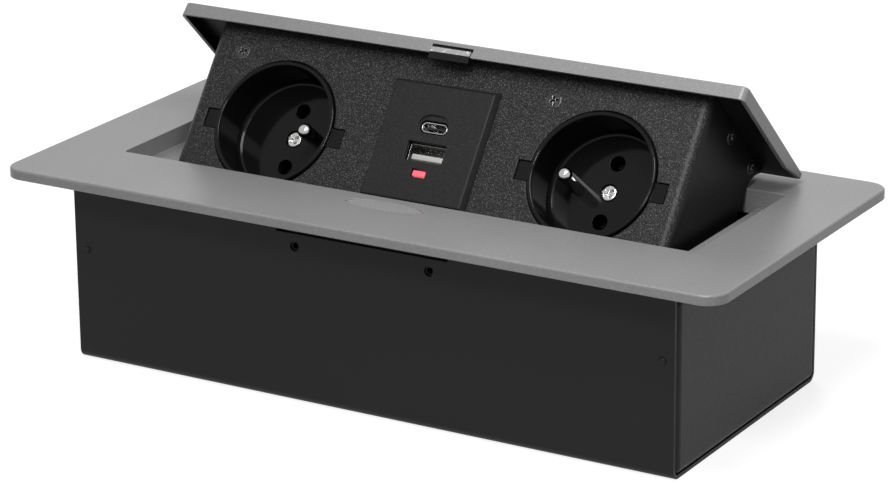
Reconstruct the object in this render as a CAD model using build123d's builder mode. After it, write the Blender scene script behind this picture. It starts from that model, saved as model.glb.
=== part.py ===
from build123d import *
import os
from math import cos, radians, sin, sqrt

# An in-desk power module: a bezel with a sheet-steel box under it, and a lid that swings up on two
# stud pins with the socket panel hanging from it. It is modelled open, standing on the box.
# +Z is up, +X along its length, the user's side is -Y, and the origin is the middle of the box's
# bottom.

# Box
box_length = 211.2
box_width = 95.0
box_height = 60.0
sheet = 1.2
outer_bend = 3.0
wrapper_inset = 0.6
flange_reach = 13.6

# Bezel
bezel_length = 248.4
bezel_width = 118.0
bezel_thick = 3.0
box_land = 0.4
land_gap = 0.8
bezel_corner = 7.0
opening_length = 201.0
opening_width = 61.0
opening_y = 4.0
opening_corner = 1.5
collar_wall = 1.6
collar_depth = 4.8
ledge_reach = 10.0
ledge_thick = 1.8
ledge_screw_inset = 5.0

# Finger recess in the front bar
recess_length = 27.0
recess_width = 7.5
recess_depth = 1.4
recess_back = 3.5
recess_start = 0.1

# Hinge
pivot_drop = 19.1
pivot_y = 41.5
open_angle = 44.16
pin_radius = 2.0
running_gap = 0.05
hole_gap = 0.1
shoulder_radius = 2.8
shoulder_thick = 1.2

# Lid
lid_side_gap = 0.9
lid_rear_gap = 5.15
lid_thick = 1.5
rim_depth = 4.5
rim_thick = 1.4
lid_gap = 0.85
lid_corner = 2.0
rim_taper = 13.0

# Socket panel and the brackets that carry it
panel_half = 87.2
panel_bend = 3.0
panel_lean = 36.78
panel_setback = 5.7
panel_drop = 53.0
bracket_sheet = 1.5
bracket_rear = -15.5
notch_centre = (-9.14, 8.69)
notch_radius = 12.1
boss_radius = 4.4
cover_sheet = 1.0

# Sockets
socket_x = 56.2
socket_drop = 28.4
ring_radius = 20.8
ring_proud = 0.8
panel_hole_radius = 21.3
recess_radius = 19.3
recess_deep = 14.4
pin_spacing = 19.0
pin_hole_radius = 2.5
earth_offset = 10.0
earth_radius = 2.4
earth_length = 13.2
earth_tip = 2.2
earth_shank = 1.8
floor_thick = 3.0
lug_half = 25.0
lug_height = 6.0
flange_half = 26.3
flange_low = 22.8
flange_high = 24.3
flange_corner = 3.0
flange_thick = 2.5
back_deep = 13.0
face_screw_offset = (-20.0, 21.8)

# USB module
usb_width = 37.2
usb_height = 40.0
usb_top = 7.3
usb_proud = 2.0
usb_bevel = 1.7
usb_c_drop = 21.8
usb_c_boss = (10.6, 7.6)
usb_c_boss_proud = 0.5
usb_a_drop = 30.2
led_drop = 37.0

# Magnetic catch
catch_hole_x = 23.5
catch_hole_drop = 9.5
catch_hole_radius = 1.6
wall_notch_half = 30.0
wall_notch_deep = 5.5

# Fasteners
screw_radius = 1.45
thread_radius = 1.5
ledge_head_radius = 3.0
side_head_radius = 2.4
rivet_inset = 4.6
rivet_radius = 0.8
rivet_head = 1.3
rivet_head_high = 0.6
rivet_tail = 1.1
rivet_tail_long = 1.2

# Derived heights and planes
deck = box_height
top = deck + bezel_thick
pivot_z = deck - pivot_drop
half_box = box_length / 2
lid_length = opening_length - 2 * lid_side_gap
lid_width = opening_width - lid_gap - lid_rear_gap
half_width = box_width / 2
inner_y = half_width - sheet
ledge_top = deck - collar_depth + ledge_thick
opening_front = opening_y - opening_width / 2

# The tilt plane lies square to the open lid, through the hinge axis: its y runs back along the lid
# and its z out of the lid. The side plane looks along the hinge axis, with the same y and z.
tilt = Plane(
    origin=(0, pivot_y, pivot_z),
    x_dir=(1, 0, 0),
    z_dir=(0, sin(radians(open_angle)), cos(radians(open_angle))),
)
side = Plane(origin=tilt.origin, x_dir=tilt.y_dir, z_dir=(1, 0, 0))
lid_top = top - pivot_z
lid_under = lid_top - lid_thick
rim_edge = lid_top - rim_depth
lid_front = opening_front + lid_gap - pivot_y
lid_rear = lid_front + lid_width
closed_lean = radians(open_angle - panel_lean)


def at_panel(up, deep):
    """Side-plane point that lies up along the panel's front face and deep behind it."""
    along = lid_front + panel_setback - up * sin(closed_lean) + deep * cos(closed_lean)
    return along, rim_edge + up * cos(closed_lean) + deep * sin(closed_lean)


# The face plane is the panel's front: x along the hinge, y up the panel and z out towards the user.
face_origin = side.from_local_coords((*at_panel(0, 0), 0))
face = Plane(
    origin=face_origin,
    x_dir=(1, 0, 0),
    z_dir=(0, -cos(radians(panel_lean)), sin(radians(panel_lean))),
)
across = Plane(origin=face_origin, x_dir=(1, 0, 0), z_dir=face.y_dir)
panel_rise = (lid_under - rim_edge) / cos(closed_lean)


def screw_form(head, head_radius, shank_radius, length, mode=Mode.ADD):
    """Countersunk screw, or its hole: flush with the head plane and pointing against its normal."""
    half = Plane(origin=head.origin, x_dir=head.x_dir, z_dir=-head.y_dir)
    with BuildSketch(half) as profile:
        with BuildLine():
            Polyline(
                (0, 0),
                (head_radius, 0),
                (shank_radius, shank_radius - head_radius),
                (shank_radius, -length),
                (0, -length),
                close=True,
            )
        make_face()
    revolve(profile.sketch, axis=Axis(head.origin, head.z_dir), mode=mode)


def hinge_plane(x):
    """Plane square to the hinge axis at x, with its own axes along Y and Z and its origin on the axis."""
    return Plane(origin=(x, pivot_y, pivot_z), x_dir=(0, 1, 0), z_dir=(1, 0, 0))

os.makedirs("parts", exist_ok=True)


ledge_screw_x = opening_length / 2 - ledge_screw_inset
ledge_heads = [Plane(origin=(x, opening_y, ledge_top)) for x in (-ledge_screw_x, ledge_screw_x)]

# Bezel: one casting, a flat frame with a collar round its opening and a ledge across each end
with BuildPart() as bezel_frame:
    with BuildSketch(Plane.XY.offset(deck)):
        RectangleRounded(bezel_length, bezel_width, bezel_corner)
    extrude(amount=bezel_thick)
    fillet(bezel_frame.faces().sort_by(Axis.Z)[-1].edges(), 0.6)
    with BuildSketch(Plane.XY.offset(deck)):
        Rectangle(box_length + 2 * land_gap, box_width + 2 * land_gap)
    extrude(amount=box_land, mode=Mode.SUBTRACT)
    with BuildSketch(Plane.XY.offset(deck - collar_depth)):
        with Locations((0, opening_y)):
            RectangleRounded(
                opening_length + 2 * collar_wall,
                opening_width + 2 * collar_wall,
                opening_corner + collar_wall,
            )
    extrude(amount=collar_depth + box_land)
    with BuildSketch(Plane.XY.offset(deck - collar_depth)):
        with Locations((0, opening_y)):
            RectangleRounded(opening_length, opening_width, opening_corner)
    extrude(amount=collar_depth + bezel_thick, mode=Mode.SUBTRACT)
    with BuildSketch(Plane.XY.offset(deck - collar_depth)):
        with Locations((0, opening_y)):
            RectangleRounded(opening_length, opening_width, opening_corner)
            Rectangle(opening_length - 2 * ledge_reach, opening_width, mode=Mode.SUBTRACT)
    extrude(amount=ledge_thick)
    for head in ledge_heads:
        screw_form(head, ledge_head_radius, thread_radius + hole_gap, 2 * ledge_thick, Mode.SUBTRACT)
    recess_floor = Plane(
        origin=(0, opening_front - recess_back, top - recess_start),
        x_dir=(1, 0, 0),
        z_dir=(0, -recess_depth / recess_width, 1),
    )
    with BuildSketch(recess_floor):
        with Locations((0, -recess_width / 2)):
            Ellipse(recess_length / 2, recess_width / 2)
    extrude(amount=2 * recess_depth, mode=Mode.SUBTRACT)
bezel_frame.part.label = "bezel_frame"
export_step(bezel_frame.part, "parts/bezel_frame.step")

# Box wrapper: front wall, bottom and rear wall folded from one sheet
gland_x = -60.0
gland_z = 16.0
gland_hole_radius = 8.0
rivet_x = half_box - rivet_inset
rivet_rows = ((-1, deck - 23.6), (1, deck - 40.0))
with BuildPart() as box_wrapper:
    with BuildSketch(Plane.YZ):
        with BuildLine():
            FilletPolyline(
                (-half_width + sheet / 2, deck + box_land),
                (-half_width + sheet / 2, sheet / 2),
                (half_width - sheet / 2, sheet / 2),
                (half_width - sheet / 2, deck + box_land),
                radius=outer_bend - sheet / 2,
            )
        trace(line_width=sheet)
    extrude(amount=half_box - wrapper_inset, both=True)
    with BuildSketch(Plane.XZ.offset(half_width - 2 * sheet)):
        with Locations((0, deck)):
            Rectangle(2 * wall_notch_half, 2 * wall_notch_deep)
        with Locations(
            (-catch_hole_x, deck - catch_hole_drop),
            (catch_hole_x, deck - catch_hole_drop),
        ):
            Circle(catch_hole_radius)
    extrude(amount=4 * sheet, mode=Mode.SUBTRACT)
    with BuildSketch(Plane.XZ.offset(-half_width - sheet)):
        with Locations((gland_x, gland_z)):
            Circle(gland_hole_radius)
    extrude(amount=4 * sheet, mode=Mode.SUBTRACT)
    for wall, height in rivet_rows:
        with BuildSketch(Plane.XZ.offset(-wall * half_width)):
            with Locations((-rivet_x, height), (rivet_x, height)):
                Circle(rivet_radius)
        extrude(amount=2 * sheet, both=True, mode=Mode.SUBTRACT)
box_wrapper.part.label = "box_wrapper"
export_step(box_wrapper.part, "parts/box_wrapper.step")

# End plates: a plate with four flanges folded inwards, riveted inside the wrapper
plate_top = deck - collar_depth
flange_end = half_box - flange_reach
plate_bend = 2.4
corner_relief = plate_bend + 1.2
hinge_window = 6.5
for name, sign in (("left", -1), ("right", 1)):
    with BuildPart() as end_plate:
        with BuildSketch(Plane.YZ.offset(sign * flange_end)):
            with Locations((0, (plate_top + sheet) / 2)):
                RectangleRounded(2 * inner_y, plate_top - sheet, plate_bend)
        extrude(amount=sign * flange_reach)
        outer_face = end_plate.faces().sort_by(Axis.X)[-1 if sign > 0 else 0]
        fillet(outer_face.edges(), plate_bend - 0.1)
        inner_face = end_plate.faces().sort_by(Axis.X)[0 if sign > 0 else -1]
        offset(amount=-sheet, openings=inner_face)
        with BuildSketch(Plane.YZ.offset(sign * flange_end)):
            with Locations(
                (-inner_y, sheet),
                (inner_y, sheet),
                (-inner_y, plate_top),
                (inner_y, plate_top),
            ):
                Rectangle(2 * corner_relief, 2 * corner_relief)
        extrude(amount=sign * (flange_reach - corner_relief), mode=Mode.SUBTRACT)
        with BuildSketch(Plane.XY.offset(plate_top - 2 * sheet)):
            with Locations((sign * ledge_screw_x, opening_y)):
                Circle(thread_radius + hole_gap)
        extrude(amount=4 * sheet, mode=Mode.SUBTRACT)
        for wall, height in rivet_rows:
            with BuildSketch(Plane.XZ.offset(-wall * inner_y)):
                with Locations((sign * rivet_x, height)):
                    Circle(rivet_radius)
            extrude(amount=2 * sheet, both=True, mode=Mode.SUBTRACT)
        with BuildSketch(Plane.XZ.offset(-inner_y)):
            with Locations((sign * (half_box - plate_bend - flange_reach / 2), pivot_z)):
                Rectangle(flange_reach, 2 * hinge_window)
        extrude(amount=2 * sheet, both=True, mode=Mode.SUBTRACT)
    end_plate.part.label = f"end_plate_{name}"
    export_step(end_plate.part, f"parts/end_plate_{name}.step")

# Blind rivets that hold the wrapper to the end plates' flanges
with BuildPart() as wall_rivets:
    for x in (-rivet_x, rivet_x):
        for wall, height in rivet_rows:
            spot = Plane(origin=(x, wall * half_width, height), x_dir=(1, 0, 0), z_dir=(0, wall, 0))
            with BuildSketch(spot):
                Circle(rivet_head)
            extrude(amount=rivet_head_high)
            with BuildSketch(spot):
                Circle(rivet_radius)
            extrude(amount=-2 * sheet)
            with BuildSketch(spot.offset(-2 * sheet)):
                Circle(rivet_tail)
            extrude(amount=-rivet_tail_long)
    head_faces = wall_rivets.faces().filter_by(Axis.Y).group_by(Axis.Y)
    chamfer(head_faces[0].edges() + head_faces[-1].edges(), 0.4)
wall_rivets.part.label = "wall_rivets"
export_step(wall_rivets.part, "parts/wall_rivets.step")

# Screws that pull the end plates' top flanges up against the bezel's ledges, into clinch nuts
ledge_screw_long = 9.0
nut_radius = 3.2
nut_thick = 2.5
with BuildPart() as ledge_screws:
    for head in ledge_heads:
        screw_form(head, ledge_head_radius, screw_radius, ledge_screw_long)
ledge_screws.part.label = "ledge_screws"
export_step(ledge_screws.part, "parts/ledge_screws.step")

with BuildPart() as ledge_nuts:
    with BuildSketch(Plane.XY.offset(plate_top - sheet - nut_thick)):
        with Locations((-ledge_screw_x, opening_y), (ledge_screw_x, opening_y)):
            RegularPolygon(nut_radius, 6)
            Circle(thread_radius, mode=Mode.SUBTRACT)
    extrude(amount=nut_thick)
ledge_nuts.part.label = "ledge_nuts"
export_step(ledge_nuts.part, "parts/ledge_nuts.step")

# Catch: a moulded block pegged to the front wall, with a magnet behind the bezel's collar
block_half = 28.0
block_low = deck - 14.0
block_high = deck - 4.4
block_back = opening_front - collar_wall - 0.4
magnet_size = (20.0, 5.0, 8.0)
magnet_z = deck - 0.4 - magnet_size[2] / 2
peg_short = 0.7
peg_bore = 1.1
peg_bore_deep = 8.0
with BuildPart() as catch_block:
    with BuildSketch(Plane.XY.offset(block_low)):
        with Locations((0, (block_back - inner_y) / 2)):
            RectangleRounded(2 * block_half, block_back + inner_y, 1.0)
    extrude(amount=block_high - block_low)
    with BuildSketch(Plane.XY.offset(block_high)):
        with Locations((0, block_back - magnet_size[1] / 2 - 0.6)):
            Rectangle(magnet_size[0] + 2.4, magnet_size[1] + 1.2)
    extrude(amount=2.4)
    with BuildSketch(Plane.XY.offset(magnet_z - magnet_size[2] / 2)):
        with Locations((0, block_back - magnet_size[1] / 2)):
            Rectangle(magnet_size[0], magnet_size[1])
    extrude(amount=magnet_size[2], mode=Mode.SUBTRACT)
    with BuildSketch(Plane.XZ.offset(inner_y)):
        with Locations(
            (-catch_hole_x, deck - catch_hole_drop),
            (catch_hole_x, deck - catch_hole_drop),
        ):
            Circle(catch_hole_radius - hole_gap)
    extrude(amount=sheet - peg_short)
    with BuildSketch(Plane.XZ.offset(half_width - peg_short)):
        with Locations(
            (-catch_hole_x, deck - catch_hole_drop),
            (catch_hole_x, deck - catch_hole_drop),
        ):
            Circle(peg_bore)
    extrude(amount=-peg_bore_deep, mode=Mode.SUBTRACT)
catch_block.part.label = "catch_block"
export_step(catch_block.part, "parts/catch_block.step")

with BuildPart() as catch_magnet:
    with BuildSketch(Plane.XY.offset(magnet_z - magnet_size[2] / 2)):
        with Locations((0, block_back - magnet_size[1] / 2)):
            Rectangle(magnet_size[0], magnet_size[1])
    extrude(amount=magnet_size[2])
    chamfer(catch_magnet.edges(), 0.3)
catch_magnet.part.label = "catch_magnet"
export_step(catch_magnet.part, "parts/catch_magnet.step")

# Cable gland in the rear wall, with its nut inside
gland_bore = 3.6
gland_thread = gland_hole_radius - 0.1
gland_hex = 10.5
rear_wall = Plane(origin=(gland_x, half_width, gland_z), x_dir=(1, 0, 0), z_dir=(0, 1, 0))
with BuildPart() as cable_gland:
    with BuildSketch(rear_wall):
        RegularPolygon(gland_hex, 6)
    extrude(amount=4.0)
    with BuildSketch(rear_wall.offset(4.0)):
        Circle(8.2)
    extrude(amount=6.0)
    fillet(cable_gland.faces().sort_by(Axis.Y)[-1].edges(), 2.5)
    with BuildSketch(rear_wall):
        Circle(gland_thread)
    extrude(amount=-9.0)
    with BuildSketch(rear_wall.offset(-9.0)):
        Circle(gland_bore)
    extrude(amount=20.0, mode=Mode.SUBTRACT)
cable_gland.part.label = "cable_gland"
export_step(cable_gland.part, "parts/cable_gland.step")

with BuildPart() as gland_nut:
    with BuildSketch(rear_wall.offset(-sheet)):
        RegularPolygon(gland_hex, 6)
        Circle(gland_thread + running_gap, mode=Mode.SUBTRACT)
    extrude(amount=-4.0)
gland_nut.part.label = "gland_nut"
export_step(gland_nut.part, "parts/gland_nut.step")

# Terminal block on the bottom, behind the swing of the insert, with a screw over each pole
terminal_size = (36.0, 16.0, 14.0)
terminal_x = 0.0
terminal_y = 36.0
pole_step = 11.0
terminal_plane = Plane(origin=(terminal_x, terminal_y, sheet))
with BuildPart() as terminal_block:
    with BuildSketch(terminal_plane):
        Rectangle(terminal_size[0], terminal_size[1])
    extrude(amount=terminal_size[2])
    fillet(terminal_block.edges().filter_by(Axis.Z), 1.0)
    with BuildSketch(terminal_plane.offset(5.0)):
        with GridLocations(pole_step, 8.0, 3, 2):
            Circle(2.2)
    extrude(amount=terminal_size[2], mode=Mode.SUBTRACT)
terminal_block.part.label = "terminal_block"
export_step(terminal_block.part, "parts/terminal_block.step")

with BuildPart() as terminal_screws:
    with BuildSketch(terminal_plane.offset(5.0)):
        with GridLocations(pole_step, 8.0, 3, 2):
            Circle(2.0)
    extrude(amount=5.0)
terminal_screws.part.label = "terminal_screws"
export_step(terminal_screws.part, "parts/terminal_screws.step")

# Hinge studs welded to the end plates, their retaining clips and the posts for the springs' legs
plate_inner = half_box - sheet
stud_end = 81.0
clip_x = 82.3
clip_thick = 0.8
clip_groove = 1.6
clip_reach = 2.0
coil_start = 90.0
coil_long = 7.0
coil_turns = 4
coil_radius = 3.7
wire_radius = 0.6
leg_long = 13.5
post_radius = 1.0
post_drop = 11.0
post_cover = 1.5
for name, sign in (("left", -1), ("right", 1)):
    with BuildPart() as pivot_pin:
        with BuildSketch(hinge_plane(sign * plate_inner)):
            Circle(shoulder_radius)
        extrude(amount=-sign * shoulder_thick)
        with BuildSketch(hinge_plane(sign * plate_inner)):
            Circle(pin_radius)
        extrude(amount=-sign * (plate_inner - stud_end))
        with BuildSketch(hinge_plane(sign * (clip_x - clip_thick / 2))):
            Circle(pin_radius)
            Circle(clip_groove, mode=Mode.SUBTRACT)
        extrude(amount=sign * clip_thick, mode=Mode.SUBTRACT)
    pivot_pin.part.label = f"pivot_pin_{name}"
    export_step(pivot_pin.part, f"parts/pivot_pin_{name}.step")

with BuildPart() as pivot_clips:
    for sign in (-1, 1):
        with BuildSketch(hinge_plane(sign * (clip_x - clip_thick / 2))):
            Circle(pin_radius + clip_reach)
            Circle(clip_groove, mode=Mode.SUBTRACT)
            with Locations((pin_radius, 0)):
                Rectangle(2 * pin_radius, 1.6 * clip_groove, mode=Mode.SUBTRACT)
        extrude(amount=sign * clip_thick)
pivot_clips.part.label = "pivot_clips"
export_step(pivot_clips.part, "parts/pivot_clips.step")

with BuildPart() as spring_posts:
    for sign in (-1, 1):
        with BuildSketch(hinge_plane(sign * plate_inner)):
            with Locations((-coil_radius + wire_radius + post_radius, -post_drop)):
                Circle(post_radius)
        extrude(amount=sign * (coil_start + coil_long - post_cover - plate_inner))
spring_posts.part.label = "spring_posts"
export_step(spring_posts.part, "parts/spring_posts.step")

# Torsion springs round the studs: one leg lies under the bracket's tab, the other on the post
start_angle = radians(270 - open_angle)
turns = coil_turns - (start_angle - radians(180)) / radians(360)
coil_plane = Plane(
    origin=(-coil_start, pivot_y, pivot_z),
    x_dir=(0, cos(start_angle), sin(start_angle)),
    z_dir=(-1, 0, 0),
)
coil = coil_plane * Helix(coil_long / turns, coil_long, coil_radius, lefthand=True)
quarter_turns = 4 * coil_turns
coil_edges = [
    coil.trim(step / quarter_turns, (step + 1) / quarter_turns).edge()
    for step in range(quarter_turns)
]
moving_leg = Line((coil @ 0) - (coil % 0) * leg_long, coil @ 0)
fixed_leg = Line(coil @ 1, (coil @ 1) + (coil % 1) * leg_long)
spring_wire = Wire([moving_leg.edge(), *coil_edges, fixed_leg.edge()])
with BuildPart() as torsion_spring_left:
    with BuildSketch(Plane(origin=spring_wire @ 0, z_dir=spring_wire % 0)):
        Circle(wire_radius)
    sweep(path=spring_wire, is_frenet=True)
torsion_spring_left.part.label = "torsion_spring_left"
export_step(torsion_spring_left.part, "parts/torsion_spring_left.step")

with BuildPart() as torsion_spring_right:
    mirror(torsion_spring_left.part, about=Plane.YZ)
torsion_spring_right.part.label = "torsion_spring_right"
export_step(torsion_spring_right.part, "parts/torsion_spring_right.step")

# Lid: one pressed pan with rims at its front and sides, the side rims cut back at the rear
lid_mid = (lid_front + lid_rear) / 2
lid_edge = 0.5
slot_half = 7.3
slot_high = 1.4
with BuildPart() as lid_panel:
    with BuildSketch(tilt.offset(rim_edge)):
        with Locations((0, lid_mid)):
            RectangleRounded(lid_length, lid_width, lid_corner)
    extrude(amount=rim_depth)
    lid_face = lid_panel.faces().sort_by(Axis(tilt.origin, tilt.z_dir))[-1]
    fillet(lid_face.edges(), lid_edge)
    with BuildSketch(tilt.offset(rim_edge)):
        with Locations((0, lid_mid + rim_thick)):
            RectangleRounded(lid_length - 2 * rim_thick, lid_width + rim_thick, lid_corner - 1.0)
        with Locations((0, lid_rear)):
            Rectangle(lid_length - 2 * rim_thick, 2 * rim_thick)
    extrude(amount=rim_depth - lid_thick, mode=Mode.SUBTRACT)
    with BuildSketch(side):
        with BuildLine():
            Polyline(
                (lid_rear - rim_taper, rim_edge),
                (lid_rear + 1, rim_edge + (lid_under - rim_edge) * (1 + 1 / rim_taper)),
                (lid_rear + 1, rim_edge),
                close=True,
            )
        make_face()
    extrude(amount=lid_length, both=True, mode=Mode.SUBTRACT)
    with BuildSketch(tilt.offset(lid_under - slot_high)):
        with Locations((0, lid_front)):
            Rectangle(2 * slot_half, 4 * rim_thick)
    extrude(amount=slot_high, mode=Mode.SUBTRACT)
lid_panel.part.label = "lid_panel"
export_step(lid_panel.part, "parts/lid_panel.step")

# Strike: a strip of spring steel under the lid, joggled down to leave by the bottom of the slot in
# the front rim, then bent down over it
strike_thick = 0.5
strike_half = 7.0
strike_back = 4.8
strike_joggle = (1.6, 2.8)
strike_lip = 2.0
strike_lean = 0.5
strike_top = lid_under - slot_high + strike_thick / 2
strike_front = lid_front - strike_thick / 2
with BuildPart() as strike_tab:
    with BuildSketch(side):
        with BuildLine():
            Polyline(
                (lid_front + strike_back, lid_under - strike_thick / 2),
                (lid_front + strike_joggle[1], lid_under - strike_thick / 2),
                (lid_front + strike_joggle[0], strike_top),
                (strike_front, strike_top),
                (strike_front, rim_edge - 0.4),
                (strike_front + strike_lean, rim_edge - strike_lip),
            )
        trace(line_width=strike_thick)
    extrude(amount=strike_half, both=True)
strike_tab.part.label = "strike_tab"
export_step(strike_tab.part, "parts/strike_tab.step")

# Side outline shared by the panel's flanges and the brackets: an arc lets the bezel's rear bar in
notch_y, notch_z = notch_centre
rear_drop = notch_z + sqrt(notch_radius**2 - (bracket_rear - notch_y) ** 2)
notch_front = (notch_y - notch_radius, notch_z)
arm_angle = radians(250)
arm_point = (notch_y + notch_radius * cos(arm_angle), notch_z + notch_radius * sin(arm_angle))
heel = (-24.0, -31.5)
side_heads = [(-42.0, 16.8), (-22.6, 16.8)]
side_screw_radius = 1.25

# Brackets: folded plates under the lid, each with an arm that reaches back to the hinge
bracket_in = panel_half - sheet - bracket_sheet
bracket_flange = 12.0
flange_long = 38.0
flange_mid = -38.0
bush_wall = 1.0
bush_collar = 2.0
tab_half = (2.0, 0.6)
tab_y = -11.0
for name, sign in (("left", -1), ("right", 1)):
    with BuildPart() as lid_bracket:
        with BuildSketch(side.offset(sign * bracket_in)):
            with BuildLine():
                front_top = (at_panel(panel_rise, 3.2)[0], lid_under)
                Polyline(front_top, (bracket_rear, lid_under), (bracket_rear, rear_drop))
                ThreePointArc((bracket_rear, rear_drop), notch_front, arm_point)
                Polyline(
                    arm_point,
                    (0, -1.0),
                    (0, -boss_radius),
                    (-20.0, -22.0),
                    heel,
                    at_panel(1.5 - panel_drop, 3.2),
                    front_top,
                )
            make_face()
            Circle(boss_radius)
            Circle(pin_radius + bush_wall, mode=Mode.SUBTRACT)
            with Locations(*side_heads):
                Circle(side_screw_radius, mode=Mode.SUBTRACT)
        extrude(amount=sign * bracket_sheet)
        with BuildSketch(tilt.offset(lid_under - bracket_sheet)):
            with Locations((sign * (bracket_in + bracket_sheet - bracket_flange / 2), flange_mid)):
                Rectangle(bracket_flange, flange_long)
        extrude(amount=bracket_sheet)
        with BuildSketch(side.offset(sign * bracket_in)):
            with Locations((tab_y, -coil_radius + wire_radius + tab_half[1])):
                Rectangle(2 * tab_half[0], 2 * tab_half[1])
        extrude(amount=sign * (coil_start + 1.5 - bracket_in))
    lid_bracket.part.label = f"lid_bracket_{name}"
    export_step(lid_bracket.part, f"parts/lid_bracket_{name}.step")

# Flanged bushes pressed into the brackets' arms
bush_thick = 1.0
bush_long = 2.8
for name, sign in (("left", -1), ("right", 1)):
    with BuildPart() as pivot_bush:
        with BuildSketch(hinge_plane(sign * (panel_half - sheet))):
            Circle(pin_radius + bush_collar)
        extrude(amount=sign * bush_thick)
        with BuildSketch(hinge_plane(sign * (panel_half - sheet))):
            Circle(pin_radius + bush_wall)
        extrude(amount=-sign * bush_long)
        with BuildSketch(hinge_plane(0)):
            Circle(pin_radius + running_gap)
        extrude(amount=sign * half_box, mode=Mode.SUBTRACT)
    pivot_bush.part.label = f"pivot_bush_{name}"
    export_step(pivot_bush.part, f"parts/pivot_bush_{name}.step")

# Socket centres on the face plane, with the side on which each earth pin stands
sockets = (("left", -socket_x, 1), ("right", socket_x, -1))
face_screw_radius = 1.35
face_head_radius = 2.5
lower_screw = (20.0, -20.0)
face_heads = [
    face.shift_origin(face.from_local_coords((x + dx, dy - socket_drop, 0)))
    for _, x, _ in sockets
    for dx, dy in (face_screw_offset, lower_screw)
]
usb_middle = -usb_top - usb_height / 2
usb_hole = (34.4, 37.4)

# Insert panel: the socket face and its two side flanges folded from one sheet
with BuildPart() as insert_panel:
    with BuildSketch(across.offset(-panel_drop)):
        with BuildLine():
            FilletPolyline(
                (-panel_half + sheet / 2, 60.0),
                (-panel_half + sheet / 2, sheet / 2),
                (panel_half - sheet / 2, sheet / 2),
                (panel_half - sheet / 2, 60.0),
                radius=panel_bend - sheet / 2,
            )
        trace(line_width=sheet)
    extrude(amount=panel_drop + panel_rise + 1.0)
    with BuildSketch(side):
        with BuildLine():
            Polyline(
                at_panel(panel_rise, -1.0),
                (bracket_rear, lid_under),
                (bracket_rear, rear_drop),
            )
            ThreePointArc(
                (bracket_rear, rear_drop),
                notch_front,
                (notch_y - sqrt(notch_radius**2 - (notch_z - 3.6) ** 2), 3.6),
            )
            Polyline(
                (notch_y - sqrt(notch_radius**2 - (notch_z - 3.6) ** 2), 3.6),
                (-20.12, -24.0),
                heel,
                at_panel(-panel_drop, 0),
                at_panel(-panel_drop, -1.0),
                at_panel(panel_rise, -1.0),
            )
        make_face()
    extrude(amount=bezel_length, both=True, mode=Mode.INTERSECT)
    with BuildSketch(face):
        for _, x, _ in sockets:
            with Locations((x, -socket_drop)):
                Circle(panel_hole_radius)
            with Locations((x, -socket_drop - 1.5)):
                Rectangle(2 * lug_half + 1.0, lug_height + 0.6)
        with Locations((0, usb_middle)):
            Rectangle(*usb_hole)
    extrude(amount=-2 * sheet, mode=Mode.SUBTRACT)
    for head in face_heads:
        screw_form(head, face_head_radius, face_screw_radius, 2 * sheet, Mode.SUBTRACT)
    for sign in (-1, 1):
        for head_y, head_z in side_heads:
            spot = side.from_local_coords((head_y, head_z, sign * panel_half))
            screw_form(
                Plane(origin=spot, x_dir=tilt.y_dir, z_dir=(sign, 0, 0)),
                side_head_radius,
                side_screw_radius,
                2 * sheet,
                Mode.SUBTRACT,
            )
insert_panel.part.label = "insert_panel"
export_step(insert_panel.part, "parts/insert_panel.step")

with BuildPart() as side_screws:
    for sign in (-1, 1):
        for head_y, head_z in side_heads:
            spot = side.from_local_coords((head_y, head_z, sign * panel_half))
            screw_form(
                Plane(origin=spot, x_dir=tilt.y_dir, z_dir=(sign, 0, 0)),
                side_head_radius,
                side_screw_radius,
                sheet + bracket_sheet,
            )
side_screws.part.label = "side_screws"
export_step(side_screws.part, "parts/side_screws.step")

with BuildPart() as face_screws:
    for head in face_heads:
        screw_form(head, face_head_radius, face_screw_radius, 7.0)
face_screws.part.label = "face_screws"
export_step(face_screws.part, "parts/face_screws.step")

# Insert cover: one sheet folded round the sockets' backs, from under the lid to the face's foot
cover_front = -42.0
cover_top_rear = -18.5
cover_rear = -23.0
cover_shoulder = 13.0
cover_bend = 2.0
cover_cut_mid = -36.0
cover_cut_long = 44.0
with BuildPart() as insert_cover:
    with BuildSketch(side):
        with BuildLine():
            FilletPolyline(
                (cover_front, lid_under - cover_sheet / 2),
                (cover_top_rear, lid_under - cover_sheet / 2),
                (cover_rear, cover_shoulder),
                (cover_rear, heel[1]),
                at_panel(-panel_drop + cover_sheet / 2, sheet + 0.1),
                radius=cover_bend,
            )
        trace(line_width=cover_sheet)
    extrude(amount=bracket_in, both=True)
    with BuildSketch(tilt.offset(rim_edge)):
        for sign in (-1, 1):
            with Locations((sign * bracket_in, cover_cut_mid)):
                Rectangle(2 * (bracket_flange - bracket_sheet + 0.5), cover_cut_long)
    extrude(amount=rim_depth, mode=Mode.SUBTRACT)
insert_cover.part.label = "insert_cover"
export_step(insert_cover.part, "parts/insert_cover.step")

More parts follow.
